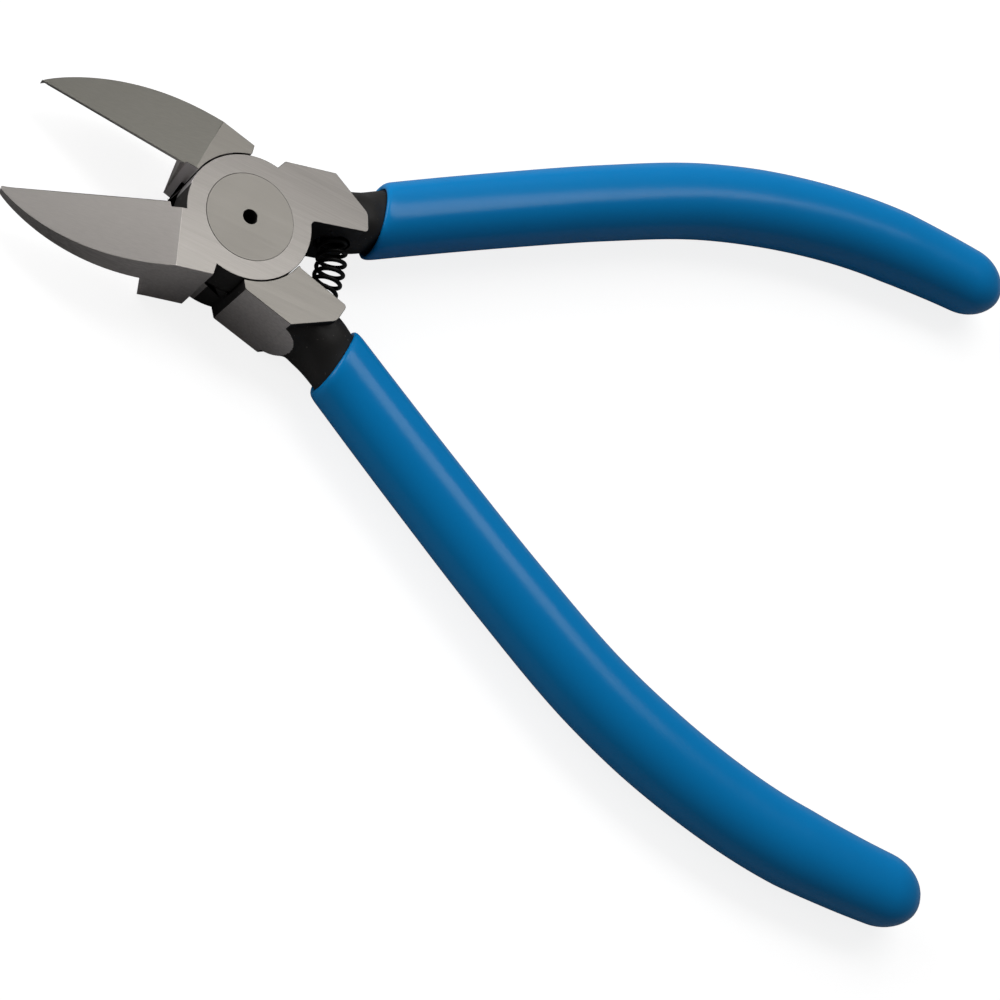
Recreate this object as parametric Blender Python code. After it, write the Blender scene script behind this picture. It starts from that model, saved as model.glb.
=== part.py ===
"""Diagonal cutting pliers: two forged halves in a lap joint, a rivet, a spring and two dipped grips.

World frame: the joint's axis is Z, through the origin; the back faces lie on z = 0; the handles
point along +X.
Each half is drawn as if the tool were closed, then turned open about Z by REST_ANGLE.
"""

import math

import bmesh
import bpy
import numpy as np
from mathutils import Matrix

MM = 0.001

# Overall sizes, in millimetres.
THICKNESS = 10.1
REST_ANGLE = 15.3
GAP = 0.3

# Lap joint and rivet.
DISC_RADIUS = 8.1
RIVET_HEAD_RADIUS = 5.65
RIVET_SHANK_RADIUS = 4.2
RIVET_BACK_RADIUS = 5.3
RIVET_LAND = 1.4
RIVET_HEAD_CONE = 1.4
RIVET_BACK_CONE = 1.1
RIVET_HOLE_RADIUS = 0.95
RIVET_HOLE_DEPTH = 6.0

# Blade, in the closed position. Y is measured outwards from the cutting line.
BLADE_LENGTH = 28.7
FACE_BREAK_INNER = 8.6
FACE_BREAK_OUTER = 9.2
TIP_FRONT_Z = 4.35
EDGE_OFFSET = 0.12
EDGE_LAND = 0.45
NOTCH_START = 9.85
NOTCH_DEPTH = 0.6
NOTCH_LEAD = 0.1
ROOT_WALL_LEAN = 0.6
ROOT_WALL_BACK = 1.25
EDGE_END_X = 10.35
ROOT_BACK_X = 9.3
ROOT_WIDTH = 8.25
ROOT_IN_DISC_X = 4.5
ROOT_END_X = 2.2
ROOT_IN_DISC_WIDTH = 8.4
TIP_WIDTH = 0.24
BELLY_FULLNESS = 2.1
BELLY_TIP_POWER = 0.88
SHOULDER_BACK_X = 10.3
SHOULDER_BLADE_X = 11.7
BLADE_BACK_AT_SHOULDER = 4.6
BLADE_BACK_AT_TIP = 3.3
BLADE_PLACES = [28.7, 28.3, 27.6, 26.5, 25.0, 23.0, 20.5, 18.0, 15.5, 13.2]

# Plate block behind the joint.
PLATE_OUTLINE = [
    (1.5, 2.0),
    (3.6, 7.4),
    (4.5, 8.35),
    (11.3, 8.3),
    (15.2, 4.3),
    (15.7, 3.3),
    (15.75, 1.6),
    (15.4, 1.25),
    (8.75, 1.2),
    (8.15, 0.6),
    (8.0, -0.8),
    (5.0, -1.0),
]

# Handle: height of its middle, then points of its centre line, from the plate block to the grip's end.
HANDLE_MIDDLE = 4.75
HANDLE_LINE = [
    (12.0, 4.75),
    (14.5, 4.5),
    (16.5, 4.8),
    (18.6, 5.45),
    (38.0, 11.3),
    (54.0, 15.8),
    (70.0, 19.5),
    (86.0, 20.9),
    (100.0, 20.25),
    (112.0, 18.1),
    (123.2, 15.4),
]

# Neck between plate block and grip: places along the handle, half widths and half depths.
NECK_SECTIONS = [
    (11.8, 3.45, 4.6),
    (13.5, 3.55, 4.5),
    (15.0, 3.4, 4.3),
    (17.0, 3.6, 4.0),
]
STEEL_END = 119.5

# Grips. The lower handle was dipped a little deeper than the upper one.
GRIP_START = 18.95
UPPER_GRIP_END = 123.1
LOWER_GRIP_END = 124.1
GRIP_WALL = 0.9
GRIP_LIP = 0.35
GRIP_FLATTEN = 0.875
GRIP_RADIUS_START = 4.75
GRIP_RADIUS_MAX = 5.42
GRIP_RADIUS_END = 4.72
FULL_RADIUS_X = 79.0
TAPER_X = 104.0
END_ROUND = 6.0
MOUTH_LEAN = 0.34
MOUTH_LEAN_LENGTH = 10.0

# Spring: an arc about the joint's axis with a straight length inside each seat.
SPRING_RADIUS = 13.1
SPRING_COIL_RADIUS = 1.75
SPRING_WIRE_RADIUS = 0.28
SPRING_TURNS = 10.5
SPRING_FIRST_ANGLE = -2.0
SEAT_RADIUS = 2.35
SEAT_DEPTH = 4.25

RING_POINTS = 24
DISC_POINTS = 72


def clear_scene():
    for obj in list(bpy.data.objects):
        bpy.data.objects.remove(obj, do_unlink=True)
    for mesh in list(bpy.data.meshes):
        bpy.data.meshes.remove(mesh)


def make_material(name, color, roughness, metallic):
    material = bpy.data.materials.new(name)
    material.use_nodes = True
    shader = material.node_tree.nodes["Principled BSDF"]
    shader.inputs["Base Color"].default_value = (*color, 1.0)
    shader.inputs["Roughness"].default_value = roughness
    shader.inputs["Metallic"].default_value = metallic
    material.diffuse_color = (*color, 1.0)
    return material


def mesh_object(name, points, faces):
    """Makes an object from points in millimetres, with its normals pointing outwards."""
    mesh = bpy.data.meshes.new(name)
    mesh.from_pydata([tuple(c * MM for c in p) for p in points], [], faces)
    bm = bmesh.new()
    bm.from_mesh(mesh)
    bmesh.ops.recalc_face_normals(bm, faces=bm.faces)
    bm.to_mesh(mesh)
    bm.free()
    obj = bpy.data.objects.new(name, mesh)
    bpy.context.scene.collection.objects.link(obj)
    return obj


def loft(name, rings):
    """A closed body through rings of equal length, each a list of (x, y, z)."""
    count = len(rings[0])
    points = [p for ring in rings for p in ring]
    faces = [tuple(range(count))]
    for k in range(len(rings) - 1):
        for i in range(count):
            j = (i + 1) % count
            faces.append((k * count + i, k * count + j, (k + 1) * count + j, (k + 1) * count + i))
    faces.append(tuple((len(rings) - 1) * count + i for i in range(count)))
    return mesh_object(name, points, faces)


def prism(name, outline, z_low, z_high):
    return loft(name, [[(x, y, z) for x, y in outline] for z in (z_low, z_high)])


def circle(radius, count, z):
    angles = [2 * math.pi * i / count for i in range(count)]
    return [(radius * math.cos(a), radius * math.sin(a), z) for a in angles]


def turned(name, profile, count):
    """A body of revolution about Z from (radius, z) pairs that start and end off the axis."""
    return loft(name, [circle(radius, count, z) for radius, z in profile])


def combine(target, tool, operation):
    """Applies one exact Boolean with the tool object, then removes the tool."""
    modifier = target.modifiers.new(operation.lower(), "BOOLEAN")
    modifier.operation = operation
    modifier.solver = "EXACT"
    modifier.object = tool
    graph = bpy.context.evaluated_depsgraph_get()
    mesh = bpy.data.meshes.new_from_object(target.evaluated_get(graph))
    target.modifiers.clear()
    target.data = mesh
    bpy.data.objects.remove(tool, do_unlink=True)


def smooth_by_angle(obj, degrees):
    bm = bmesh.new()
    bm.from_mesh(obj.data)
    bmesh.ops.remove_doubles(bm, verts=bm.verts, dist=1e-7)
    limit = math.radians(degrees)
    for face in bm.faces:
        face.smooth = True
    for edge in bm.edges:
        edge.smooth = len(edge.link_faces) == 2 and edge.calc_face_angle(0.0) < limit
    bm.to_mesh(obj.data)
    bm.free()


def curve_point(points, x):
    """Height of a smooth curve through the points at x, by Catmull-Rom slopes."""
    xs = [p[0] for p in points]
    ys = [p[1] for p in points]
    slopes = np.gradient(ys, xs)
    k = min(max(int(np.searchsorted(xs, x)) - 1, 0), len(xs) - 2)
    width = xs[k + 1] - xs[k]
    t = (x - xs[k]) / width
    start = (2 * t**3 - 3 * t**2 + 1) * ys[k] + (t**3 - 2 * t**2 + t) * width * slopes[k]
    end = (3 * t**2 - 2 * t**3) * ys[k + 1] + (t**3 - t**2) * width * slopes[k + 1]
    return start + end


def handle_ring(x, half_width, half_depth, lean=0.0, power=2.3):
    """A rounded cross-section of the handle, square to its centre line but for a lean along it."""
    y = curve_point(HANDLE_LINE, x)
    angle = math.atan(curve_point(HANDLE_LINE, x + 0.5) - curve_point(HANDLE_LINE, x - 0.5))
    ring = []
    for i in range(RING_POINTS):
        a = 2 * math.pi * i / RING_POINTS
        across = half_width * math.copysign(abs(math.cos(a)) ** (2 / power), math.cos(a))
        up = half_depth * math.copysign(abs(math.sin(a)) ** (2 / power), math.sin(a))
        along = lean * across
        ring_x = x - across * math.sin(angle) + along * math.cos(angle)
        ring_y = y + across * math.cos(angle) + along * math.sin(angle)
        ring.append((ring_x, ring_y, HANDLE_MIDDLE + up))
    return ring


def grip_radius(x):
    """Outer radius of the grip: slender at the joint, fullest past the middle."""
    rise = min((x - GRIP_START) / (FULL_RADIUS_X - GRIP_START), 1.0)
    fall = max((x - TAPER_X) / (UPPER_GRIP_END - TAPER_X), 0.0)
    full = GRIP_RADIUS_START + (GRIP_RADIUS_MAX - GRIP_RADIUS_START) * rise
    return full - (GRIP_RADIUS_MAX - GRIP_RADIUS_END) * fall


def mouth_lean(x):
    """How far the dip line leans back on the outer side, fading out along the grip."""
    return MOUTH_LEAN * min(max(1.0 - (x - GRIP_START) / MOUTH_LEAN_LENGTH, 0.0), 1.0)


def rounded_end(x, end):
    """Factor that closes the radius to a round end over the last END_ROUND of length."""
    left = min(max((end - x) / END_ROUND, 0.0), 1.0)
    return math.sqrt(max(1.0 - (1.0 - left) ** 2, 0.0))


def stations(start, end, body_count, end_count):
    """Places along the handle, closer together over the rounded end."""
    body = np.linspace(start, end - END_ROUND, body_count)
    angles = np.linspace(0.0, math.pi / 2, end_count + 1)[1:]
    tail = end - END_ROUND + END_ROUND * np.sin(angles) * 0.998
    return list(body) + list(tail)


def belly(x):
    """Width of the blade outwards from the cutting line, at a distance x from the joint."""
    left = (BLADE_LENGTH - x) / (BLADE_LENGTH - NOTCH_START)
    left = min(max(left, 0.0), 1.0)
    share = 1 - (1 - left**BELLY_TIP_POWER) ** BELLY_FULLNESS
    return TIP_WIDTH + (ROOT_WIDTH - TIP_WIDTH) * share


def front_z(x, y):
    """Height of the front face, which slopes down towards the tip from a break line across the root."""
    start = FACE_BREAK_INNER + (FACE_BREAK_OUTER - FACE_BREAK_INNER) * y / ROOT_WIDTH
    slope = (THICKNESS - TIP_FRONT_Z) / (BLADE_LENGTH - FACE_BREAK_INNER)
    return THICKNESS - slope * max(x - start, 0.0)


def blade_section(x):
    """Edge, outer front, outer back and the bevel's start, with y outwards from the cutting line."""
    share = (x - SHOULDER_BLADE_X) / (BLADE_LENGTH - SHOULDER_BLADE_X)
    back = BLADE_BACK_AT_SHOULDER + (BLADE_BACK_AT_TIP - BLADE_BACK_AT_SHOULDER) * share
    edge = front_z(x, EDGE_OFFSET)
    return [
        (-x, EDGE_OFFSET, edge),
        (-x, belly(x), front_z(x, belly(x))),
        (-x, belly(x), back),
        (-x, EDGE_OFFSET, edge - EDGE_LAND),
    ]


def blade_and_root(name):
    """The blade and its full-thickness root, from the tip to inside the joint disc."""
    rings = [blade_section(x) for x in BLADE_PLACES]
    shoulder = blade_section(SHOULDER_BLADE_X)
    shoulder[3] = (-EDGE_END_X, EDGE_OFFSET, front_z(EDGE_END_X, EDGE_OFFSET) - EDGE_LAND)
    shoulder[0] = (-EDGE_END_X, EDGE_OFFSET, front_z(EDGE_END_X, EDGE_OFFSET))
    rings.append(shoulder)
    notch_step = NOTCH_START + NOTCH_LEAD
    rings.append(
        [
            (-notch_step, EDGE_OFFSET, front_z(notch_step, EDGE_OFFSET)),
            (-SHOULDER_BACK_X, ROOT_WIDTH, front_z(SHOULDER_BACK_X, ROOT_WIDTH)),
            (-SHOULDER_BACK_X, ROOT_WIDTH, 0.0),
            (-ROOT_BACK_X, ROOT_WALL_BACK, 0.0),
        ]
    )
    for inner, outer in ((NOTCH_START, NOTCH_START), (FACE_BREAK_INNER, FACE_BREAK_OUTER)):
        rings.append(
            [
                (-inner, NOTCH_DEPTH, front_z(inner, NOTCH_DEPTH)),
                (-outer, ROOT_WIDTH, front_z(outer, ROOT_WIDTH)),
                (-outer, ROOT_WIDTH, 0.0),
                (-inner + ROOT_WALL_LEAN, ROOT_WALL_BACK, 0.0),
            ]
        )
    rings.append(
        [
            (-ROOT_END_X, NOTCH_DEPTH, THICKNESS),
            (-ROOT_IN_DISC_X, ROOT_IN_DISC_WIDTH, THICKNESS),
            (-ROOT_IN_DISC_X, ROOT_IN_DISC_WIDTH, 0.0),
            (-ROOT_END_X, ROOT_WALL_BACK, 0.0),
        ]
    )
    return loft(name, [[(x, -y, z) for x, y, z in ring] for ring in rings])


def tang(name):
    """The forged handle, from inside the plate block to its round end inside the grip."""
    rings = [handle_ring(x, half_width, half_depth) for x, half_width, half_depth in NECK_SECTIONS]
    for x in stations(GRIP_START, STEEL_END, 14, 4):
        radius = (grip_radius(x) - GRIP_WALL - GAP) * rounded_end(x, STEEL_END)
        rings.append(handle_ring(x, radius, radius * GRIP_FLATTEN, mouth_lean(x)))
    return loft(name, rings)


def seat_hole(name):
    """The blind hole for the spring's end, square to the inner edge of the plate block."""
    outline = circle(SEAT_RADIUS, 28, 0.0)
    rings = []
    for y in (-1.0, SEAT_DEPTH):
        rings.append([(SPRING_RADIUS + across, y, THICKNESS / 2 + up) for across, up, _ in outline])
    return loft(name, rings)


def rivet_profile(extra):
    """The rivet's outline as (radius, z), grown by extra for the hole that holds it."""
    head = THICKNESS - RIVET_LAND
    return [
        (RIVET_BACK_RADIUS + extra, 0.0),
        (RIVET_BACK_RADIUS + extra, RIVET_LAND),
        (RIVET_SHANK_RADIUS + extra, RIVET_LAND + RIVET_BACK_CONE),
        (RIVET_SHANK_RADIUS + extra, head - RIVET_HEAD_CONE),
        (RIVET_HEAD_RADIUS + extra, head),
        (RIVET_HEAD_RADIUS + extra, THICKNESS),
    ]


def rivet_bore(name):
    profile = rivet_profile(GAP)
    profile[0] = (profile[0][0], -1.0)
    profile[-1] = (profile[-1][0], THICKNESS + 1.0)
    return turned(name, profile, DISC_POINTS)


def build_half(name, side, lap_low, lap_high, material):
    """One half. side is +1 with the handle towards +Y; the lap range is what the other disc takes."""
    half = turned(name, [(DISC_RADIUS, 0.0), (DISC_RADIUS, THICKNESS)], DISC_POINTS)
    combine(half, prism("plate", PLATE_OUTLINE, 0.0, THICKNESS), "UNION")
    combine(half, blade_and_root("blade"), "UNION")
    combine(half, tang("tang"), "UNION")
    if side < 0:
        mirror_y(half)
    lap = turned("lap", [(DISC_RADIUS + GAP, lap_low), (DISC_RADIUS + GAP, lap_high)], DISC_POINTS)
    combine(half, lap, "DIFFERENCE")
    combine(half, rivet_bore("bore"), "DIFFERENCE")
    hole = seat_hole("seat")
    if side < 0:
        mirror_y(hole)
    combine(half, hole, "DIFFERENCE")
    finish(half, material, side, 32.0)
    return half


def mirror_y(obj):
    obj.data.transform(Matrix.Scale(-1.0, 4, (0.0, 1.0, 0.0)))
    obj.data.flip_normals()


def finish(obj, material, side, smooth_angle):
    """Turns the piece from the closed to the rest position, then gives it its material and shading."""
    obj.data.transform(Matrix.Rotation(side * math.radians(REST_ANGLE), 4, "Z"))
    obj.data.materials.clear()
    obj.data.materials.append(material)
    smooth_by_angle(obj, smooth_angle)


def build_grip(name, side, end, material):
    """The dipped sleeve: outer skin from the mouth to the round end, then the inner skin back again."""
    outer = []
    for x in stations(GRIP_START, end, 22, 6):
        radius = grip_radius(x) * rounded_end(x, end)
        outer.append(handle_ring(x, radius, radius * GRIP_FLATTEN, mouth_lean(x)))
    inner = []
    inner_end = STEEL_END + GAP
    for x in stations(GRIP_START, inner_end, 14, 4):
        radius = max((grip_radius(x) - GRIP_WALL) * rounded_end(x, inner_end), 0.06)
        inner.append(handle_ring(x, radius, (radius + GAP) * GRIP_FLATTEN, mouth_lean(x)))
    middle_of_wall = GRIP_RADIUS_START - GRIP_WALL / 2
    lip = handle_ring(
        GRIP_START - GRIP_LIP, middle_of_wall, middle_of_wall * GRIP_FLATTEN, MOUTH_LEAN
    )
    grip = loft(name, list(reversed(outer)) + [lip] + inner)
    if side < 0:
        mirror_y(grip)
    finish(grip, material, side, 40.0)
    return grip


def build_rivet(material):
    rivet = turned("pivot_rivet", rivet_profile(0.0), DISC_POINTS)
    low = THICKNESS - RIVET_HOLE_DEPTH
    hole = turned("hole", [(RIVET_HOLE_RADIUS, low), (RIVET_HOLE_RADIUS, THICKNESS + 1.0)], 32)
    combine(rivet, hole, "DIFFERENCE")
    finish(rivet, material, 1, 32.0)
    return rivet


def spring_frame(length_from_middle):
    """Centre and outward direction of the spring's line at a signed length from its middle."""
    half_arc = SPRING_RADIUS * math.radians(REST_ANGLE)
    on_arc = max(-half_arc, min(half_arc, length_from_middle))
    angle = on_arc / SPRING_RADIUS
    outward = np.array([math.cos(angle), math.sin(angle), 0.0])
    along = np.array([-math.sin(angle), math.cos(angle), 0.0])
    centre = SPRING_RADIUS * outward + (length_from_middle - on_arc) * along
    centre[2] = THICKNESS / 2
    return centre, outward


def build_spring(material):
    """The compression spring, as a round wire wound about its line."""
    half_length = SPRING_RADIUS * math.radians(REST_ANGLE) + SEAT_DEPTH - GAP - SPRING_WIRE_RADIUS
    steps = int(SPRING_TURNS * 20)
    up = np.array([0.0, 0.0, 1.0])
    centres = []
    path = []
    for share in np.linspace(0.0, 1.0, steps + 1):
        centre, outward = spring_frame(half_length * (2 * share - 1))
        turn = 2 * math.pi * SPRING_TURNS * share + SPRING_FIRST_ANGLE
        centres.append(centre)
        path.append(centre + SPRING_COIL_RADIUS * (math.sin(turn) * up - math.cos(turn) * outward))
    rings = []
    for k in range(steps + 1):
        ahead = path[min(k + 1, steps)] - path[max(k - 1, 0)]
        ahead = ahead / np.linalg.norm(ahead)
        radial = path[k] - centres[k]
        radial = radial - ahead * float(radial @ ahead)
        radial = radial / np.linalg.norm(radial)
        across = np.cross(ahead, radial)
        ring = []
        for px, py, _ in circle(SPRING_WIRE_RADIUS, 8, 0.0):
            ring.append(tuple(path[k] + px * radial + py * across))
        rings.append(ring)
    spring = loft("return_spring", rings)
    spring.data.materials.append(material)
    smooth_by_angle(spring, 60.0)
    return spring


def main():
    clear_scene()
    steel_front = make_material("steel_front", (0.42, 0.40, 0.38), 0.38, 1.0)
    steel_rear = make_material("steel_rear", (0.36, 0.34, 0.32), 0.38, 1.0)
    rivet_steel = make_material("rivet_steel", (0.48, 0.46, 0.43), 0.35, 1.0)
    spring_steel = make_material("spring_steel", (0.02, 0.02, 0.022), 0.45, 0.6)
    grip_vinyl = make_material("grip_vinyl", (0.01, 0.15, 0.46), 0.22, 0.0)
    middle = THICKNESS / 2
    build_half("front_half", 1, -1.0, middle + GAP / 2, steel_front)
    build_half("rear_half", -1, middle - GAP / 2, THICKNESS + 1.0, steel_rear)
    build_rivet(rivet_steel)
    build_spring(spring_steel)
    build_grip("upper_grip", 1, UPPER_GRIP_END, grip_vinyl)
    build_grip("lower_grip", -1, LOWER_GRIP_END, grip_vinyl)


main()
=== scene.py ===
"""Looks of the diagonal cutting pliers: ground and blackened steel, wire spring and dipped grips.

Lengths are in millimetres, in the closed position of each half, until a mesh is placed in the row frame.
"""

import math

import bmesh
import bpy
import numpy as np
from mathutils import Matrix, Vector


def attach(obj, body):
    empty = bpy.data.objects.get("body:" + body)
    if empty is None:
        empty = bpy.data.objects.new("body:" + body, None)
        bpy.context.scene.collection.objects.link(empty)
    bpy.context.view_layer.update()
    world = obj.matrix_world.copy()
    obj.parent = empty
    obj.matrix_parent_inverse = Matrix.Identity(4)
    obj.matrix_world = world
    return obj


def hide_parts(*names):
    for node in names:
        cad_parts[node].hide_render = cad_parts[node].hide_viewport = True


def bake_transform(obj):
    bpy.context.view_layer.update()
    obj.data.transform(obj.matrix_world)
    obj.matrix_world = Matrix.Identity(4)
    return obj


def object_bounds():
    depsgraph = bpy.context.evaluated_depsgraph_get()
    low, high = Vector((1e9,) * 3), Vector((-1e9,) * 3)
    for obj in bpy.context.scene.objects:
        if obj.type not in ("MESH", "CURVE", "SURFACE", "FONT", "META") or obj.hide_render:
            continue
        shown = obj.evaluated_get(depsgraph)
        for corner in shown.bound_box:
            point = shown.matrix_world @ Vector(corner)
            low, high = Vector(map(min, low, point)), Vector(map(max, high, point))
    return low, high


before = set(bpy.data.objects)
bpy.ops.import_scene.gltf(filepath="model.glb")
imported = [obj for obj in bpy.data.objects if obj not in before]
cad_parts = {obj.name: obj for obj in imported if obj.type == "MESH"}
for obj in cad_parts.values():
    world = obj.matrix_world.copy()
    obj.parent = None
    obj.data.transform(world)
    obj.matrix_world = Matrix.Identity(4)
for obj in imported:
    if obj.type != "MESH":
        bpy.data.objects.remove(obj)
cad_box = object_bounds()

MM = 0.001
THICKNESS = (cad_box[1][2] - cad_box[0][2]) / MM
MIDDLE = THICKNESS / 2
REST_ANGLE = 15.3

# Joint.
DISC_RADIUS = 8.1
LAP_CLEARANCE = 0.11
RIVET_RADIUS = 5.62
RIVET_CLEARANCE = 0.032
RIVET_SHIFT = (0.021, 0.018)
RIVET_EDGE = 0.02
RIVET_HOLE_RADIUS = 0.93
RIVET_HOLE_DEPTH = 5.0

# Blade and its root; y is measured outwards from the cutting line.
BLADE_LENGTH = 28.7
FACE_BREAK_INNER = 8.6
FACE_BREAK_OUTER = 9.2
TIP_FRONT_Z = 4.35
CUT_LINE = 0.15
EDGE_MARGIN = 0.13
EDGE_LAND = 0.22
EDGE_END_X = 10.35
NOTCH_START = 9.85
NOTCH_DEPTH = 0.6
NOTCH_LEAD = 0.1
ROOT_WALL_LEAN = 0.6
ROOT_WALL_BACK = 1.25
ROOT_BACK_X = 9.3
ROOT_WIDTH = 8.25
ROOT_IN_DISC_X = 4.5
ROOT_IN_DISC_WIDTH = 8.4
ROOT_END_X = 2.2
TIP_WIDTH = 0.24
BELLY_FULLNESS = 2.1
BELLY_TIP_POWER = 0.88
SHOULDER_BACK_X = 10.3
SHOULDER_BLADE_X = 11.7
BLADE_BACK_AT_SHOULDER = 4.6
BLADE_BACK_AT_TIP = 3.3

# Plate block behind the joint: corner points, each with its fillet radius.
PLATE_CORNERS = [
    (1.5, 2.0, 0.0),
    (3.6, 7.4, 0.0),
    (4.5, 8.35, 0.25),
    (11.3, 8.3, 0.25),
    (15.7, 3.85, 1.3),
    (15.75, 1.25, 0.5),
    (8.1, 1.15, 0.6),
    (7.95, -1.2, 0.0),
    (5.0, -1.2, 0.0),
]

# Handle.
HANDLE_MIDDLE = 4.75
HANDLE_LINE = [
    (12.0, 4.75),
    (14.5, 4.5),
    (16.5, 4.8),
    (18.6, 5.45),
    (38.0, 11.3),
    (54.0, 15.8),
    (70.0, 19.5),
    (86.0, 20.9),
    (100.0, 20.25),
    (112.0, 18.1),
    (123.2, 15.4),
]
GROUND_SIDE_Y = 8.28
INNER_SIDE_Y = 1.15
GROUND_SIDE_END = 14.5

# Neck between plate block and grip: place along the handle, half width, half depth, squareness.
NECK_SECTIONS = [
    (10.6, 6.0, 4.7, 2.6),
    (11.6, 5.0, 4.7, 2.5),
    (12.6, 4.15, 4.6, 2.4),
    (13.7, 3.65, 4.45, 2.3),
    (15.0, 3.45, 4.35, 2.8),
    (16.2, 3.5, 4.2, 2.8),
    (17.4, 3.65, 4.05, 2.3),
]
GRIP_START = 18.95
UPPER_MOUTH_LEAN = 0.5
LOWER_MOUTH_LEAN = 0.34
MOUTH_LEAN_LENGTH = 10.0
UPPER_GRIP_END = 123.1
LOWER_GRIP_END = 124.1
GRIP_WALL = 0.95
GRIP_FLATTEN = 0.875
GRIP_RADIUS_START = 4.75
GRIP_RADIUS_MAX = 5.42
GRIP_RADIUS_END = 4.72
FULL_RADIUS_X = 79.0
TAPER_X = 104.0
END_ROUND = 6.0

# Spring.
SPRING_RADIUS = 13.1
COIL_RADIUS = 1.75
WIRE_RADIUS = 0.28
SPRING_TURNS = 10.5
SPRING_FIRST_ANGLE = -2.0
SEAT_RADIUS = 2.3
SEAT_DEPTH = 4.2

# Camera: at the photograph's viewing angle.
CAMERA_PLACE = (-0.06055, -0.13313, 0.23391)
VIEW_AXIS = (0.3749, 0.4159, -0.8286)
VIEW_UP = (-0.3823, 0.8835, 0.2705)
LENS = 79.2

# Light.
LIGHT_TARGET = (0.03, 0.0, 0.0)
WORLD_STRENGTH = 0.10
FLOOR_GLOW = 0.84

FRONT, BLADE, SIDE, WALL, FORGED = range(5)


# ---------------------------------------------------------------- meshes


def mesh_object(name, points, faces):
    """An object from points in millimetres, its normals outwards."""
    mesh = bpy.data.meshes.new(name)
    mesh.from_pydata([tuple(c * MM for c in p) for p in points], [], faces)
    bm = bmesh.new()
    bm.from_mesh(mesh)
    bmesh.ops.recalc_face_normals(bm, faces=bm.faces)
    bm.to_mesh(mesh)
    bm.free()
    obj = bpy.data.objects.new(name, mesh)
    bpy.context.scene.collection.objects.link(obj)
    return obj


def loft(name, rings):
    """A closed body through rings of equal length."""
    count = len(rings[0])
    points = [p for ring in rings for p in ring]
    faces = [tuple(range(count))]
    for k in range(len(rings) - 1):
        for i in range(count):
            j = (i + 1) % count
            faces.append((k * count + i, k * count + j, (k + 1) * count + j, (k + 1) * count + i))
    faces.append(tuple((len(rings) - 1) * count + i for i in range(count)))
    return mesh_object(name, points, faces)


def prism(name, outline, z_low, z_high):
    return loft(name, [[(x, y, z) for x, y in outline] for z in (z_low, z_high)])


def circle(radius, count, z):
    angles = [2 * math.pi * i / count for i in range(count)]
    return [(radius * math.cos(a), radius * math.sin(a), z) for a in angles]


def turned(name, profile, count=128):
    return loft(name, [circle(radius, count, z) for radius, z in profile])


def filleted(corners):
    """An outline whose corners (x, y, radius) are rounded by short arcs."""
    outline = []
    for k, (x, y, radius) in enumerate(corners):
        here = Vector((x, y))
        if radius == 0.0:
            outline.append((x, y))
            continue
        before = (Vector(corners[k - 1][:2]) - here).normalized()
        after = (Vector(corners[(k + 1) % len(corners)][:2]) - here).normalized()
        half = before.angle(after) / 2
        centre = here + (before + after).normalized() * radius / math.sin(half)
        start = here + before * radius / math.tan(half) - centre
        turn = start.angle_signed(here + after * radius / math.tan(half) - centre)
        for i in range(7):
            spoke = Matrix.Rotation(-turn * i / 6, 2) @ start
            outline.append(tuple(centre + spoke))
    return outline


def combine(target, tool, operation):
    """Applies one exact Boolean, then removes the tool."""
    modifier = target.modifiers.new(operation.lower(), "BOOLEAN")
    modifier.operation = operation
    modifier.solver = "EXACT"
    modifier.object = tool
    apply_modifiers(target)
    bpy.data.objects.remove(tool, do_unlink=True)


def apply_modifiers(obj):
    graph = bpy.context.evaluated_depsgraph_get()
    mesh = bpy.data.meshes.new_from_object(obj.evaluated_get(graph))
    obj.modifiers.clear()
    obj.data = mesh


def place(obj, side):
    """Mirrors a piece of the lower-handle half, then turns it from the closed to the rest position."""
    if side < 0:
        obj.data.transform(Matrix.Scale(-1.0, 4, (0.0, 1.0, 0.0)))
        obj.data.flip_normals()
    obj.data.transform(Matrix.Rotation(side * math.radians(REST_ANGLE), 4, "Z"))
    obj.data.update()


def shade_smooth(obj, degrees):
    """Smooth faces, with edges sharper than the angle kept sharp."""
    bm = bmesh.new()
    bm.from_mesh(obj.data)
    limit = math.radians(degrees)
    for face in bm.faces:
        face.smooth = True
    for edge in bm.edges:
        edge.smooth = len(edge.link_faces) == 2 and edge.calc_face_angle(0.0) < limit
    bm.to_mesh(obj.data)
    bm.free()


# ---------------------------------------------------------------- handle and blade shapes


def curve_point(points, x):
    """Height at x of a smooth curve through the points."""
    xs = [p[0] for p in points]
    ys = [p[1] for p in points]
    slopes = np.gradient(ys, xs)
    k = min(max(int(np.searchsorted(xs, x)) - 1, 0), len(xs) - 2)
    width = xs[k + 1] - xs[k]
    t = (x - xs[k]) / width
    start = (2 * t**3 - 3 * t**2 + 1) * ys[k] + (t**3 - 2 * t**2 + t) * width * slopes[k]
    end = (3 * t**2 - 2 * t**3) * ys[k + 1] + (t**3 - t**2) * width * slopes[k + 1]
    return start + end


def handle_ring(x, half_width, half_depth, count=48, power=2.2, lean=0.0):
    """A rounded section of the handle, square to its centre line but for a lean along it."""
    y = curve_point(HANDLE_LINE, x)
    slope = curve_point(HANDLE_LINE, x + 0.5) - curve_point(HANDLE_LINE, x - 0.5)
    angle = math.atan(slope)
    ring = []
    for i in range(count):
        a = 2 * math.pi * i / count
        across = half_width * math.copysign(abs(math.cos(a)) ** (2 / power), math.cos(a))
        up = half_depth * math.copysign(abs(math.sin(a)) ** (2 / power), math.sin(a))
        along = lean * across
        ring_x = x - across * math.sin(angle) + along * math.cos(angle)
        ring_y = y + across * math.cos(angle) + along * math.sin(angle)
        ring.append((ring_x, ring_y, HANDLE_MIDDLE + up))
    return ring


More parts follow.
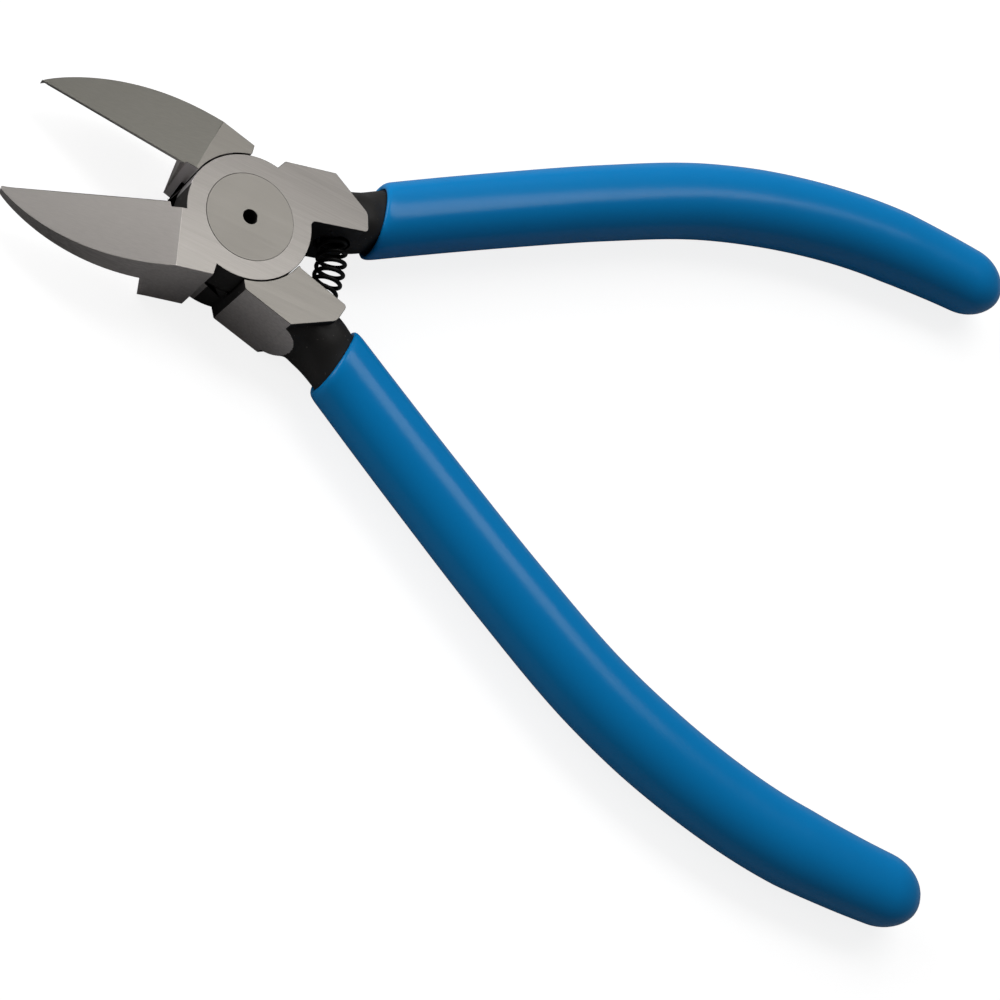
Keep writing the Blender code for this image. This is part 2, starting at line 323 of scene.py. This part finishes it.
def grip_radius(x):
    """Outer radius of the grip: slender at the joint, fullest past the middle."""
    rise = min((x - GRIP_START) / (FULL_RADIUS_X - GRIP_START), 1.0)
    fall = max((x - TAPER_X) / (UPPER_GRIP_END - TAPER_X), 0.0)
    full = GRIP_RADIUS_START + (GRIP_RADIUS_MAX - GRIP_RADIUS_START) * rise
    return full - (GRIP_RADIUS_MAX - GRIP_RADIUS_END) * fall


def sleeve_ring(x, radius, mouth_lean):
    """A section of the grip, leaning near the mouth as the dip line does."""
    lean = mouth_lean * min(max(1.0 - (x - GRIP_START) / MOUTH_LEAN_LENGTH, 0.0), 1.0)
    return handle_ring(x, radius, radius * GRIP_FLATTEN, 64, lean=lean)


def rounded_end(x, end):
    left = min(max((end - x) / END_ROUND, 0.0), 1.0)
    return math.sqrt(max(1.0 - (1.0 - left) ** 2, 0.0))


def belly(x):
    """Width of the blade outwards from the cutting line, at a distance x from the joint."""
    left = min(max((BLADE_LENGTH - x) / (BLADE_LENGTH - NOTCH_START), 0.0), 1.0)
    share = 1 - (1 - left**BELLY_TIP_POWER) ** BELLY_FULLNESS
    return TIP_WIDTH + (ROOT_WIDTH - TIP_WIDTH) * share


def front_z(x, y):
    """Height of the front face, which slopes down towards the tip from a break line across the root."""
    start = FACE_BREAK_INNER + (FACE_BREAK_OUTER - FACE_BREAK_INNER) * y / ROOT_WIDTH
    slope = (THICKNESS - TIP_FRONT_Z) / (BLADE_LENGTH - FACE_BREAK_INNER)
    return THICKNESS - slope * max(x - start, 0.0)


def cutting_edge(x, line):
    """The front face's inner margin, and the cutting edge beside and below it."""
    share = min(belly(x) / 1.5, 1.0)
    margin = line + EDGE_MARGIN * share
    return (-x, margin, front_z(x, margin)), (-x, line, front_z(x, line) - EDGE_LAND * share)


def blade_section(x, line):
    """Front margin, outer front, outer back and cutting edge."""
    share = (x - SHOULDER_BLADE_X) / (BLADE_LENGTH - SHOULDER_BLADE_X)
    back = BLADE_BACK_AT_SHOULDER + (BLADE_BACK_AT_TIP - BLADE_BACK_AT_SHOULDER) * share
    margin, edge = cutting_edge(x, line)
    return [margin, (-x, belly(x), front_z(x, belly(x))), (-x, belly(x), back), edge]


def blade_and_root(name, line):
    """The blade and its full-thickness root, from the tip to inside the joint disc.

    The line is where the cutting edge runs: the blades meet a little to one side of the joint's axis.
    """
    spread = np.linspace(0.0, 1.0, 30) ** 1.6
    places = BLADE_LENGTH - (BLADE_LENGTH - SHOULDER_BLADE_X - 0.6) * spread
    rings = [blade_section(float(x), line) for x in places]
    shoulder = blade_section(SHOULDER_BLADE_X, line)
    shoulder[0], shoulder[3] = cutting_edge(EDGE_END_X, line)
    rings.append(shoulder)
    notch_step = NOTCH_START + NOTCH_LEAD
    rings.append(
        [
            cutting_edge(notch_step, line)[0],
            (-SHOULDER_BACK_X, ROOT_WIDTH, front_z(SHOULDER_BACK_X, ROOT_WIDTH)),
            (-SHOULDER_BACK_X, ROOT_WIDTH, 0.0),
            (-ROOT_BACK_X, ROOT_WALL_BACK, 0.0),
        ]
    )
    for inner, outer in ((NOTCH_START, NOTCH_START), (FACE_BREAK_INNER, FACE_BREAK_OUTER)):
        rings.append(
            [
                (-inner, NOTCH_DEPTH, front_z(inner, NOTCH_DEPTH)),
                (-outer, ROOT_WIDTH, front_z(outer, ROOT_WIDTH)),
                (-outer, ROOT_WIDTH, 0.0),
                (-inner + ROOT_WALL_LEAN, ROOT_WALL_BACK, 0.0),
            ]
        )
    rings.append(
        [
            (-ROOT_END_X, NOTCH_DEPTH, THICKNESS),
            (-ROOT_IN_DISC_X, ROOT_IN_DISC_WIDTH, THICKNESS),
            (-ROOT_IN_DISC_X, ROOT_IN_DISC_WIDTH, 0.0),
            (-ROOT_END_X, ROOT_WALL_BACK, 0.0),
        ]
    )
    return loft(name, [[(x, -y, z) for x, y, z in ring] for ring in rings])


def face_kind(normal, centre):
    """Which material a face of a head takes: ground flat, blade, ground side (painted shade and light, darker
    towards the tips, lighter towards the plate), inner wall painted lighter, or black forging.
    """
    x, y, z = (c / MM for c in centre)
    if abs(normal.z) > 0.999 and not 1.0 < z < THICKNESS - 1.0:
        return FRONT
    if x < -FACE_BREAK_INNER and abs(normal.z) > 0.75:
        return BLADE
    off_disc = math.hypot(x, y) > DISC_RADIUS + 0.3
    if off_disc and x < -4.0 and normal.y < -0.35:
        return SIDE
    if x < -9.0 and z > 1.0:
        return SIDE
    if x < -6.0 and normal.y > 0.35:
        return WALL
    if y > 8.0 and normal.y > 0.9:
        return SIDE
    return FORGED


def seat(name):
    """The tool that cuts the spring's blind seat."""
    outline = circle(SEAT_RADIUS, 48, 0.0)
    rings = []
    for y in (-1.0, SEAT_DEPTH):
        rings.append([(SPRING_RADIUS + across, y, MIDDLE + up) for across, up, _ in outline])
    return loft(name, rings)


def head(name, side, lap_low, lap_high, materials):
    """Blade, joint disc and plate block of one half, with small ground edges and softer forged ones."""
    obj = turned(name, [(DISC_RADIUS, 0.0), (DISC_RADIUS, THICKNESS)])
    combine(obj, prism("plate", filleted(PLATE_CORNERS), 0.0, THICKNESS), "UNION")
    combine(obj, blade_and_root("blade", -side * CUT_LINE), "UNION")
    reach = DISC_RADIUS + LAP_CLEARANCE
    combine(obj, turned("lap", [(reach, lap_low), (reach, lap_high)]), "DIFFERENCE")
    bore = RIVET_RADIUS + RIVET_CLEARANCE
    combine(obj, turned("bore", [(bore, -1.0), (bore, THICKNESS + 1.0)]), "DIFFERENCE")
    combine(obj, seat("seat"), "DIFFERENCE")
    obj.data.materials.clear()
    for material in materials:
        obj.data.materials.append(material)
    bm = bmesh.new()
    bm.from_mesh(obj.data)
    bmesh.ops.remove_doubles(bm, verts=bm.verts, dist=0.03 * MM)
    bmesh.ops.dissolve_limit(
        bm, angle_limit=math.radians(0.5), verts=bm.verts, edges=bm.edges, delimit={"NORMAL"}
    )
    bm.normal_update()
    for face in bm.faces:
        face.material_index = face_kind(face.normal, face.calc_center_median())
        face.smooth = True
    weights = bm.edges.layers.float.new("bevel_weight_edge")
    for edge in bm.edges:
        if len(edge.link_faces) != 2:
            continue
        kinds = {face.material_index for face in edge.link_faces}
        sharp = edge.calc_face_angle(0.0) > math.radians(26)
        on_bore = all(abs(v.co.xy.length - bore * MM) < 0.05 * MM for v in edge.verts)
        if on_bore:
            edge[weights] = 0.06
        elif kinds == {FRONT, BLADE}:
            edge[weights] = 0.12
        elif kinds == {FORGED} and sharp and edge.is_convex:
            edge[weights] = 1.0
        elif sharp:
            edge[weights] = 0.28
    bm.to_mesh(obj.data)
    bm.free()
    bevel = obj.modifiers.new("edges", "BEVEL")
    bevel.limit_method = "WEIGHT"
    bevel.width = 0.3 * MM
    bevel.segments = 3
    bevel.use_clamp_overlap = False
    bevel.loop_slide = False
    bevel.harden_normals = True
    apply_modifiers(obj)
    place(obj, side)
    return obj


def tang(name, side, black, ground):
    """The black forged neck between plate block and grip; its outer side is ground flush with the block."""
    rings = []
    for x, half_width, half_depth, power in NECK_SECTIONS:
        rings.append(handle_ring(x, half_width, half_depth, power=power))
    for x in (GRIP_START, 21.0, 23.0, 26.0):
        radius = grip_radius(x) - GRIP_WALL
        rings.append(handle_ring(x, radius, radius * GRIP_FLATTEN + 0.05))
    obj = loft(name, rings)
    smooth = obj.modifiers.new("smooth", "SUBSURF")
    smooth.levels = 3
    smooth.render_levels = 3
    apply_modifiers(obj)
    for vertex in obj.data.vertices:
        x, y, _ = vertex.co / MM
        if x < GROUND_SIDE_END:
            vertex.co.y = min(max(y, INNER_SIDE_Y), GROUND_SIDE_Y) * MM
    combine(obj, seat("seat"), "DIFFERENCE")
    obj.data.materials.clear()
    obj.data.materials.append(black)
    obj.data.materials.append(ground)
    for polygon in obj.data.polygons:
        # The ground outer side takes the side steel, at the light end of its painted light gradient.
        if polygon.normal.y > 0.999 and polygon.center.y > (GROUND_SIDE_Y - 0.01) * MM:
            polygon.material_index = 1
        else:
            polygon.material_index = 0
    shade_smooth(obj, 20)
    place(obj, side)
    return obj


def sleeve(name, side, end, lean, material):
    """A dipped grip: outer skin, rolled lip and the first stretch of its inside."""
    body = np.linspace(GRIP_START + 1.2, end - END_ROUND, 84)
    tail = end - END_ROUND + END_ROUND * np.sin(np.linspace(0.0, math.pi / 2, 15)[1:]) * 0.9995
    rings = []
    for x in reversed(list(body) + list(tail)):
        rings.append(sleeve_ring(x, grip_radius(x) * rounded_end(x, end), lean))
    lip = GRIP_WALL / 2
    for i in range(1, 9):
        a = math.pi * i / 9
        x = GRIP_START + 1.2 * (1 - math.sin(a) ** 0.8)
        rings.append(sleeve_ring(x, GRIP_RADIUS_START - lip + lip * math.cos(a), lean))
    for x in np.linspace(GRIP_START + 1.5, GRIP_START + 5.0, 5):
        rings.append(sleeve_ring(float(x), grip_radius(x) - GRIP_WALL - 0.05, lean))
    obj = loft(name, rings)
    obj.data.materials.append(material)
    shade_smooth(obj, 60)
    place(obj, side)
    return obj


def rivet(name, material, dark):
    """The rivet, flush in both faces, with a fine chamfer and a turning centre in the front."""
    edge = RIVET_EDGE
    low = THICKNESS - RIVET_HOLE_DEPTH
    profile = [
        (0.02, 0.0),
        (RIVET_RADIUS - edge, 0.0),
        (RIVET_RADIUS, edge),
        (RIVET_RADIUS, THICKNESS - edge),
        (RIVET_RADIUS - edge, THICKNESS - 0.01),
        (RIVET_HOLE_RADIUS + 0.05, THICKNESS - 0.01),
        (RIVET_HOLE_RADIUS, THICKNESS - 0.07),
        (RIVET_HOLE_RADIUS, low),
        (0.02, low - 0.6),
    ]
    obj = turned(name, profile, 160)
    obj.data.materials.append(material)
    obj.data.materials.append(dark)
    for polygon in obj.data.polygons:
        centre = polygon.center / MM
        if centre.z < THICKNESS - 0.1 and math.hypot(centre.x, centre.y) < RIVET_HOLE_RADIUS + 0.02:
            if centre.z > 0.5:
                polygon.material_index = 1
    shade_smooth(obj, 25)
    obj.data.transform(Matrix.Translation((RIVET_SHIFT[0] * MM, RIVET_SHIFT[1] * MM, 0.0)))
    return obj


def spring_line(length):
    """Centre, outward and forward directions of the spring's line at a signed length from its middle."""
    half_arc = SPRING_RADIUS * math.radians(REST_ANGLE)
    on_arc = max(-half_arc, min(half_arc, length))
    angle = on_arc / SPRING_RADIUS
    outward = np.array([math.cos(angle), math.sin(angle), 0.0])
    along = np.array([-math.sin(angle), math.cos(angle), 0.0])
    centre = SPRING_RADIUS * outward + (length - on_arc) * along
    centre[2] = MIDDLE
    return centre, outward, along


def spring(name, material):
    """The wire spring, coiled at an even pitch along an arc whose ends run on into the seats."""
    half_length = SPRING_RADIUS * math.radians(REST_ANGLE) + SEAT_DEPTH - WIRE_RADIUS - 0.35
    steps = int(SPRING_TURNS * 40)
    up = np.array([0.0, 0.0, 1.0])
    shares = np.linspace(0.0, 1.0, steps + 1)
    centres, path = [], []
    for share in shares:
        closed = 2 * share - 1
        centre, outward, _ = spring_line(half_length * closed)
        turn = 2 * math.pi * SPRING_TURNS * share + SPRING_FIRST_ANGLE
        centres.append(centre)
        path.append(centre + COIL_RADIUS * (math.sin(turn) * up - math.cos(turn) * outward))
    rings = []
    for k in range(steps + 1):
        ahead = path[min(k + 1, steps)] - path[max(k - 1, 0)]
        ahead = ahead / np.linalg.norm(ahead)
        radial = path[k] - centres[k]
        radial = radial - ahead * float(radial @ ahead)
        radial = radial / np.linalg.norm(radial)
        across = np.cross(ahead, radial)
        ring = []
        for i in range(14):
            a = 2 * math.pi * i / 14
            ring.append(tuple(path[k] + WIRE_RADIUS * (math.cos(a) * radial + math.sin(a) * across)))
        rings.append(ring)
    obj = loft(name, rings)
    obj.data.materials.append(material)
    shade_smooth(obj, 60)
    return obj


# ---------------------------------------------------------------- materials


class Nodes:
    """A short way to wire a procedural material."""

    def __init__(self, name):
        self.material = bpy.data.materials.new(name)
        self.material.use_nodes = True
        self.tree = self.material.node_tree
        self.shader = self.tree.nodes["Principled BSDF"]

    def add(self, kind, **values):
        node = self.tree.nodes.new(kind)
        for key, value in values.items():
            setattr(node, key, value)
        return node

    def link(self, source, target):
        self.tree.links.new(source, target)

    def noise(self, scale, stretch=(1.0, 1.0, 1.0), detail=3.0, turn=0.0):
        """Noise in the row frame; scale is in features per metre, longer along an axis with a small stretch."""
        coordinate = self.add("ShaderNodeTexCoord")
        mapping = self.add("ShaderNodeMapping")
        mapping.inputs["Scale"].default_value = stretch
        mapping.inputs["Rotation"].default_value = (0.0, 0.0, math.radians(turn))
        noise = self.add("ShaderNodeTexNoise")
        noise.inputs["Scale"].default_value = scale
        noise.inputs["Detail"].default_value = detail
        self.link(coordinate.outputs["Object"], mapping.inputs["Vector"])
        self.link(mapping.outputs["Vector"], noise.inputs["Vector"])
        return noise.outputs["Fac"]

    def ranged(self, source, low, high, from_low=0.3, from_high=0.7):
        node = self.add("ShaderNodeMapRange")
        node.inputs["From Min"].default_value = from_low
        node.inputs["From Max"].default_value = from_high
        node.inputs["To Min"].default_value = low
        node.inputs["To Max"].default_value = high
        self.link(source, node.inputs["Value"])
        return node.outputs["Result"]

    def mixed(self, factor, first, second):
        node = self.add("ShaderNodeMix", data_type="RGBA")
        node.inputs[6].default_value = (*first, 1.0)
        node.inputs[7].default_value = (*second, 1.0)
        self.link(factor, node.inputs["Factor"])
        return node.outputs[2]

    def bump(self, height, strength, distance, base=None):
        node = self.add("ShaderNodeBump")
        node.inputs["Strength"].default_value = strength
        node.inputs["Distance"].default_value = distance
        self.link(height, node.inputs["Height"])
        if base is not None:
            self.link(base, node.inputs["Normal"])
        return node.outputs["Normal"]


def ground_steel(name, dark, light, roughness, grain_turn, fade=None):
    """Finely ground steel: close grain along one direction, with random patchy tone; a fade puts a painted light
    gradient in place of that tone.

    A fade is an axis and two places on it, in millimetres: the first dark, the second light.
    """
    n = Nodes(name)
    grain = n.noise(9000.0, (0.02, 1.0, 0.4), 3.0, grain_turn)
    scratches = n.noise(2200.0, (0.03, 1.0, 0.4), 2.0, grain_turn + 4.0)
    tone = n.ranged(grain, 0.0, 0.2)
    broad_variation = n.ranged(n.noise(110.0, detail=3.0), 0.0, 0.8)
    # A fade replaces the random patchy tone with a painted light gradient: dark at the first place on the axis,
    # light at the second.
    if fade is not None:
        coordinate = n.add("ShaderNodeTexCoord")
        axes = n.add("ShaderNodeSeparateXYZ")
        n.link(coordinate.outputs["Object"], axes.inputs[0])
        axis, first, last = fade
        broad_variation = n.ranged(axes.outputs[axis], 0.0, 0.8, first * MM, last * MM)
    total = n.add("ShaderNodeMath", operation="ADD")
    n.link(tone, total.inputs[0])
    n.link(broad_variation, total.inputs[1])
    n.link(n.mixed(total.outputs[0], dark, light), n.shader.inputs["Base Color"])
    n.link(n.ranged(scratches, roughness - 0.01, roughness + 0.015), n.shader.inputs["Roughness"])
    fine = n.bump(grain, 0.014, 0.00001)
    n.link(n.bump(scratches, 0.009, 0.00001, fine), n.shader.inputs["Normal"])
    n.shader.inputs["Metallic"].default_value = 1.0
    return n.material


def forged_black(name):
    """Black scale on a forging: fine pitting, patchy sheen and a few pale specks."""
    n = Nodes(name)
    pits = n.noise(2600.0, detail=4.0)
    swell = n.noise(420.0, detail=2.0)
    specks = n.ranged(n.noise(3300.0, detail=0.0), 0.0, 1.0, 0.79, 0.84)
    n.link(n.mixed(specks, (0.023, 0.0215, 0.0205), (0.10, 0.094, 0.086)), n.shader.inputs["Base Color"])
    n.link(n.ranged(swell, 0.40, 0.58), n.shader.inputs["Roughness"])
    coarse = n.bump(swell, 0.25, 0.00012)
    n.link(n.bump(pits, 0.3, 0.00004, coarse), n.shader.inputs["Normal"])
    n.shader.inputs["Specular IOR Level"].default_value = 0.30
    return n.material


def black_wire(name):
    n = Nodes(name)
    drawn = n.noise(3000.0, detail=2.0)
    n.link(n.mixed(drawn, (0.003, 0.003, 0.003), (0.007, 0.0065, 0.006)), n.shader.inputs["Base Color"])
    n.link(n.ranged(drawn, 0.34, 0.46), n.shader.inputs["Roughness"])
    n.link(n.bump(drawn, 0.1, 0.00001), n.shader.inputs["Normal"])
    n.shader.inputs["Specular IOR Level"].default_value = 0.2
    return n.material


def dipped_vinyl(name):
    """Glossy blue dip coating, with the faint waviness of a coating that set as it drained."""
    n = Nodes(name)
    broad_variation = n.noise(60.0, detail=2.0)
    fine = n.noise(700.0, detail=2.0)
    n.link(n.mixed(broad_variation, (0.0008, 0.255, 0.65), (0.0015, 0.27, 0.69)), n.shader.inputs["Base Color"])
    n.link(n.ranged(fine, 0.19, 0.23), n.shader.inputs["Roughness"])
    n.link(n.bump(broad_variation, 0.06, 0.0004), n.shader.inputs["Normal"])
    n.shader.inputs["Specular IOR Level"].default_value = 0.23
    return n.material


def floor_paper(name):
    """White paper, seen brighter than the grey light that it throws back onto the object."""
    n = Nodes(name)
    fibre = n.noise(300.0, detail=3.0)
    n.link(n.mixed(fibre, (0.38, 0.38, 0.38), (0.39, 0.39, 0.39)), n.shader.inputs["Base Color"])
    n.shader.inputs["Roughness"].default_value = 0.9
    n.shader.inputs["Specular IOR Level"].default_value = 0.0
    n.shader.inputs["Emission Color"].default_value = (1.0, 1.0, 1.0, 1.0)
    path = n.add("ShaderNodeLightPath")
    glow = n.ranged(path.outputs["Is Camera Ray"], 0.0, FLOOR_GLOW, 0.0, 1.0)
    n.link(glow, n.shader.inputs["Emission Strength"])
    return n.material


# ---------------------------------------------------------------- stage


def add_floor():
    half = 3.0
    lowest = cad_box[0][2] - 0.00005
    corners = [(-half, -half), (half, -half), (half, half), (-half, half)]
    floor = mesh_object("floor", [(x / MM, y / MM, lowest / MM) for x, y in corners], [(0, 1, 2, 3)])
    if floor.data.polygons[0].normal.z < 0:
        floor.data.flip_normals()
    floor.data.materials.append(floor_paper("floor_paper"))


def add_light(name, direction, distance, size, power):
    """A soft box aimed at the object from a direction, its long side along X."""
    place_from = Vector(direction).normalized() * distance + Vector(LIGHT_TARGET)
    target = LIGHT_TARGET
    light = bpy.data.lights.new(name, "AREA")
    light.shape = "RECTANGLE"
    light.size, light.size_y = size
    light.energy = power
    obj = bpy.data.objects.new(name, light)
    bpy.context.scene.collection.objects.link(obj)
    obj.location = place_from
    obj.rotation_euler = (Vector(target) - Vector(place_from)).to_track_quat("-Z", "Y").to_euler()
    return obj


def add_world():
    world = bpy.data.worlds.new("studio")
    bpy.context.scene.world = world
    world.use_nodes = True
    background = world.node_tree.nodes["Background"]
    background.inputs["Color"].default_value = (1.0, 1.0, 1.0, 1.0)
    background.inputs["Strength"].default_value = WORLD_STRENGTH


def add_camera():
    camera = bpy.data.cameras.new("camera")
    camera.lens = LENS
    camera.sensor_width = 36.0
    camera.clip_start = 0.01
    obj = bpy.data.objects.new("camera", camera)
    bpy.context.scene.collection.objects.link(obj)
    back = -Vector(VIEW_AXIS).normalized()
    right = Vector(VIEW_UP).cross(back).normalized()
    up = back.cross(right)
    turn = Matrix((right, up, back)).transposed().to_4x4()
    obj.matrix_world = Matrix.Translation(CAMERA_PLACE) @ turn
    bpy.context.scene.camera = obj


# ---------------------------------------------------------------- assembly


def main():
    # Flat faces: a painted light gradient along Y, lighter towards the lower side; the front half's flats are a
    # painted-lit copy and the rear half's a painted-shaded copy of one ground steel.
    flat_painted_light_fade = ("Y", 8.0, -8.0)
    flat_steel_painted_lit = ground_steel("ground_front_flat_painted_lit", (0.187, 0.176, 0.164), (0.318, 0.30, 0.28), 0.36, 0.0, flat_painted_light_fade)
    flat_steel_painted_shaded = ground_steel("ground_rear_flat_painted_shaded", (0.168, 0.159, 0.143), (0.232, 0.219, 0.199), 0.36, 0.0, flat_painted_light_fade)
    rivet_steel = ground_steel("ground_rivet", (0.178, 0.168, 0.152), (0.197, 0.187, 0.17), 0.34, 35.0)
    # Blades: a painted light gradient along X, lighter towards the tips; the front blade is a painted-lit copy
    # and the rear blade a painted-shaded copy of one ground steel.
    tip_painted_light_fade = ("X", -9.0, -28.0)
    blade_steel_painted_lit = ground_steel("blade_front_painted_lit", (0.46, 0.432, 0.41), (0.65, 0.614, 0.581), 0.34, 80.0, tip_painted_light_fade)
    blade_steel_painted_shaded = ground_steel("blade_rear_painted_shaded", (0.20, 0.193, 0.172), (0.30, 0.29, 0.258), 0.34, -80.0, tip_painted_light_fade)
    # Ground sides: painted shade and light along X, dark towards the blade tips and light towards the plate and
    # neck.
    side_painted_light_fade = ("X", -20.0, -6.0)
    side_steel_painted_light = ground_steel("ground_side_painted_light", (0.22, 0.207, 0.202), (0.88, 0.83, 0.812), 0.42, 0.0, side_painted_light_fade)
    # Inner walls of the roots: a painted-lit copy of the ground steel, much lighter, standing in for light the
    # walls don't get.
    wall_steel_painted_lit = ground_steel("ground_wall_painted_lit", (0.86, 0.82, 0.82), (0.92, 0.88, 0.88), 0.45, 60.0)
    black = forged_black("forged_black")
    wire = black_wire("black_wire")
    vinyl = dipped_vinyl("dipped_vinyl")

    gap = LAP_CLEARANCE / 2
    pieces = {
        "front": (1, "front_body", -1.0, MIDDLE + gap, [flat_steel_painted_lit, blade_steel_painted_lit]),
        "rear": (-1, "rear_body", MIDDLE - gap, THICKNESS + 1.0, [flat_steel_painted_shaded, blade_steel_painted_shaded]),
    }
    for word, (side, body, low, high, flats) in pieces.items():
        node = f"{word}_half"
        top = head(f"{word}_head", side, low, high, flats + [side_steel_painted_light, wall_steel_painted_lit, black])
        neck = tang(f"{word}_tang", side, black, side_steel_painted_light)
        for obj in (top, neck):
            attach(obj, body)
            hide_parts(node)

    grips = {
        "upper": (1, "front_body", UPPER_GRIP_END, UPPER_MOUTH_LEAN),
        "lower": (-1, "rear_body", LOWER_GRIP_END, LOWER_MOUTH_LEAN),
    }
    for word, (side, body, end, lean) in grips.items():
        grip = sleeve(f"{word}_sleeve", side, end, lean, vinyl)
        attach(grip, body)
        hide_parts(f"{word}_grip")

    pin = rivet("joint_rivet", rivet_steel, black)
    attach(pin, "front_body")
    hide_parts("pivot_rivet")

    coil = spring("coil_spring", wire)
    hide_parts("return_spring")
    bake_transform(coil)

    add_floor()
    add_world()
    add_light("key", (0.10, 0.50, 0.86), 0.9, (0.80, 0.28), 2.2)
    add_light("far", (-0.30, 0.80, 0.52), 0.9, (1.1, 0.7), 2.7).visible_glossy = False
    add_light("left", (-0.90, 0.28, 0.33), 0.9, (0.7, 0.6), 3.8)
    add_camera()
    bpy.context.scene.view_settings.view_transform = "Standard"


main()
